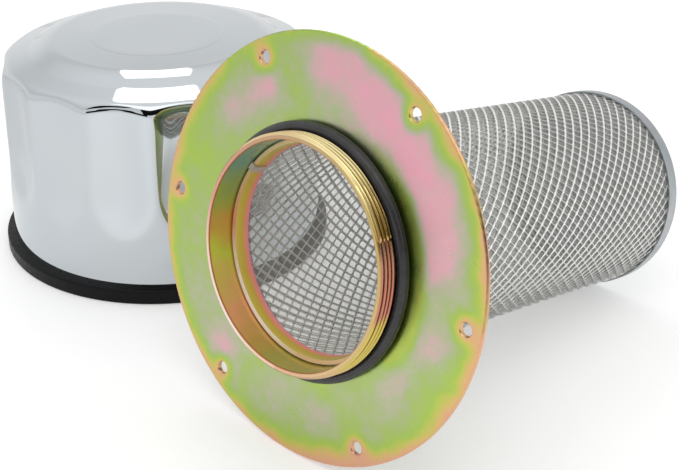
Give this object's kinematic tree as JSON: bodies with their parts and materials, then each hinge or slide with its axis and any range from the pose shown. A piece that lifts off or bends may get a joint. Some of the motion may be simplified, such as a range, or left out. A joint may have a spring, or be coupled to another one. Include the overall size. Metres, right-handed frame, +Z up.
{
  "type": "hydraulic filler breather",
  "caption": "Filler breather for a fluid tank: round bolt-on flange with threaded neck and long mesh strainer basket lying down, and its fluted chrome screw cap standing beside it.",
  "frame": {"origin": "centre of the whole row's box, on the surface that both assemblies stand on", "axes": "+Z up; +X is the strainer basket's level direction, from the neck towards its far end; +Y goes from the strainer unit towards the cap"},
  "size_m": [0.234, 0.3726, 0.1748],
  "materials": {
    "yellow_zinc": "yellow zinc chromate with green, pink and gold tints",
    "clear_zinc": "clear zinc plate",
    "galvanised_mesh": "bright expanded steel",
    "fine_gauze": "fine woven wire",
    "bright_chrome": "polished chrome plate",
    "black_rubber": "satin black rubber",
    "turned_steel": "turned steel",
    "filter_paper": "resin-treated filter paper",
    "grey_felt": "pressed felt"
  },
  "bodies": {
    "root": {"mounting_flange": "yellow_zinc", "threaded_neck": "yellow_zinc", "strainer_collar": "yellow_zinc", "collar_tab": "clear_zinc", "basket_top_band": "clear_zinc", "basket_end_cap": "clear_zinc", "neck_o_ring": "black_rubber", "outer_mesh": "galvanised_mesh", "inner_mesh": "galvanised_mesh", "filter_gauze": "fine_gauze", "cap_shell": "bright_chrome", "cap_seal_ring": "black_rubber", "cap_thread_ring": "turned_steel", "cap_base_plate": "clear_zinc", "bridge_spider": "clear_zinc", "element_gasket": "grey_felt", "element_lower_disc": "clear_zinc", "element_core": "clear_zinc", "pleated_element": "filter_paper", "element_upper_disc": "clear_zinc", "retaining_stud": "turned_steel", "stud_spacer": "turned_steel", "stud_washer": "clear_zinc", "retaining_nut": "clear_zinc"}
  },
  "joints": []
}
